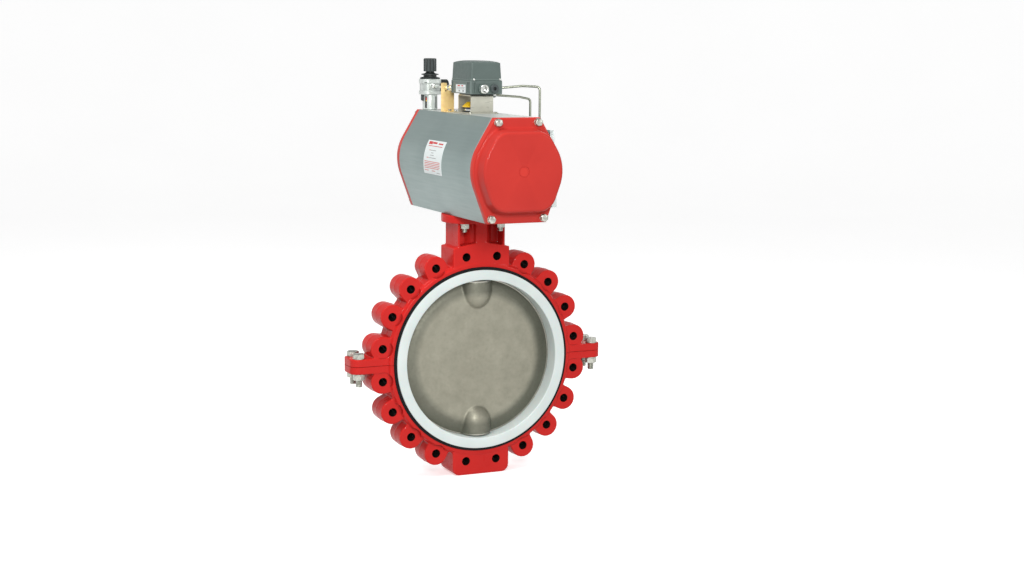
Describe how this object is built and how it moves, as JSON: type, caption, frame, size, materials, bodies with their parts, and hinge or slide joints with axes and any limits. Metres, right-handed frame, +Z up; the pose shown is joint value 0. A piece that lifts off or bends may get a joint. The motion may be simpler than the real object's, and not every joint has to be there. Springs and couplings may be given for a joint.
{
  "type": "butterfly valve",
  "caption": "Lug-pattern butterfly valve with a split cast body, white seat liner, turning disc and a pneumatic rack-and-pinion actuator with positioner and air regulator.",
  "frame": {"origin": "centre of the pipe bore, where the stem axis crosses the pipe axis", "axes": "+Z up along the stem towards the actuator, +Y along the pipe away from the front liner face, +X to the right seen from the front"},
  "size_m": [0.82, 0.72, 1.2588],
  "materials": {
    "red_paint": "glossy red paint over a sand-cast surface",
    "white_ptfe": "smooth white PTFE",
    "black_rubber": "matte black rubber",
    "cast_stainless": "blasted cast stainless steel, satin at the rim",
    "bearing_bronze": "machined bronze",
    "zinc_steel": "bright zinc plate",
    "anodised_aluminium": "satin clear anodised extrusion",
    "black_plastic": "moulded black plastic",
    "label_film": "printed film",
    "bright_stainless": "bright bent stainless sheet and tube",
    "grey_plastic": "fine-grained grey moulding",
    "nickel_brass": "nickel plate",
    "yellow_plastic": "yellow moulding",
    "silver_casting": "silver painted die casting",
    "yellow_chromate": "yellow chromate plate"
  },
  "bodies": {
    "valve_body": {"body_upper_half": "red_paint", "body_lower_half": "red_paint", "front_end_cap": "red_paint", "rear_end_cap": "red_paint", "seat_liner": "white_ptfe", "seat_energizer": "black_rubber", "stem_packing": "black_rubber", "upper_stem_bearing": "bearing_bronze", "lower_stem_bearing": "bearing_bronze", "gland_retainer": "zinc_steel", "actuator_body": "anodised_aluminium", "port_manifold": "anodised_aluminium", "pinion_lower_bearing": "black_plastic", "pinion_upper_bearing": "black_plastic", "pinion_thrust_bearing": "black_plastic", "label_plate": "label_film", "positioner_bracket": "bright_stainless", "air_tube_upper": "bright_stainless", "air_tube_lower": "bright_stainless", "positioner_base": "grey_plastic", "positioner_lid": "grey_plastic", "conduit_fitting": "nickel_brass", "regulator_body": "silver_casting", "filter_bowl": "silver_casting", "regulator_bonnet": "black_plastic", "pressure_gauge": "black_plastic", "supply_nipple": "nickel_brass", "regulator_bracket": "yellow_chromate", "ear_bolt_left_front": "zinc_steel", "ear_nut_left_front": "zinc_steel", "mounting_stud_left_front": "zinc_steel", "ear_bolt_left_rear": "zinc_steel", "ear_nut_left_rear": "zinc_steel", "mounting_stud_left_rear": "zinc_steel", "ear_bolt_right_front": "zinc_steel", "ear_nut_right_front": "zinc_steel", "mounting_stud_right_front": "zinc_steel", "ear_bolt_right_rear": "zinc_steel", "ear_nut_right_rear": "zinc_steel", "mounting_stud_right_rear": "zinc_steel", "front_cap_bolt_top_right": "zinc_steel", "front_cap_bolt_top_left": "zinc_steel", "front_cap_bolt_bottom_right": "zinc_steel", "front_cap_bolt_bottom_left": "zinc_steel", "rear_cap_bolt_top_right": "zinc_steel", "rear_cap_bolt_top_left": "zinc_steel", "rear_cap_bolt_bottom_right": "zinc_steel", "rear_cap_bolt_bottom_left": "zinc_steel"},
    "disc": {"disc_stem": "cast_stainless", "stem_coupling": "zinc_steel", "pinion": "zinc_steel", "position_indicator": "yellow_plastic", "feedback_shaft": "zinc_steel"},
    "front_piston": {"front_piston": "anodised_aluminium", "front_piston_ring": "black_rubber"},
    "rear_piston": {"rear_piston": "anodised_aluminium", "rear_piston_ring": "black_rubber"},
    "adjusting_screw": {"adjusting_screw": "zinc_steel"},
    "knob": {"regulator_knob": "black_plastic"},
    "latch": {"bowl_latch": "black_plastic"}
  },
  "joints": [
    {"name": "disc_turn", "type": "hinge", "parent": "valve_body", "child": "disc", "pos_m": [0, 0, 0], "axis": [0, 0, 1], "range_deg": [0, 90]},
    {"name": "front_piston_slide", "type": "slide", "parent": "valve_body", "child": "front_piston", "axis": [0, -1, 0], "range_m": [0, 0.079]},
    {"name": "rear_piston_slide", "type": "slide", "parent": "valve_body", "child": "rear_piston", "axis": [0, 1, 0], "range_m": [0, 0.079]},
    {"name": "pressure_set", "type": "hinge", "parent": "valve_body", "child": "adjusting_screw", "pos_m": [-0.043, 0.269, 0.85], "axis": [0, 0, 1], "range_deg": [-720, 720]},
    {"name": "knob_pull", "type": "slide", "parent": "adjusting_screw", "child": "knob", "axis": [0, 0, 1], "range_m": [0, 0.003]},
    {"name": "latch_press", "type": "slide", "parent": "valve_body", "child": "latch", "axis": [0, 0, -1], "range_m": [0, 0.002], "stiffness_N_per_m": 200, "springref_m": -0.004}
  ],
  "couplings": [
    {"joint": "front_piston_slide", "follows": "disc_turn", "m_per_rad": 0.05},
    {"joint": "rear_piston_slide", "follows": "disc_turn", "m_per_rad": 0.05}
  ]
}
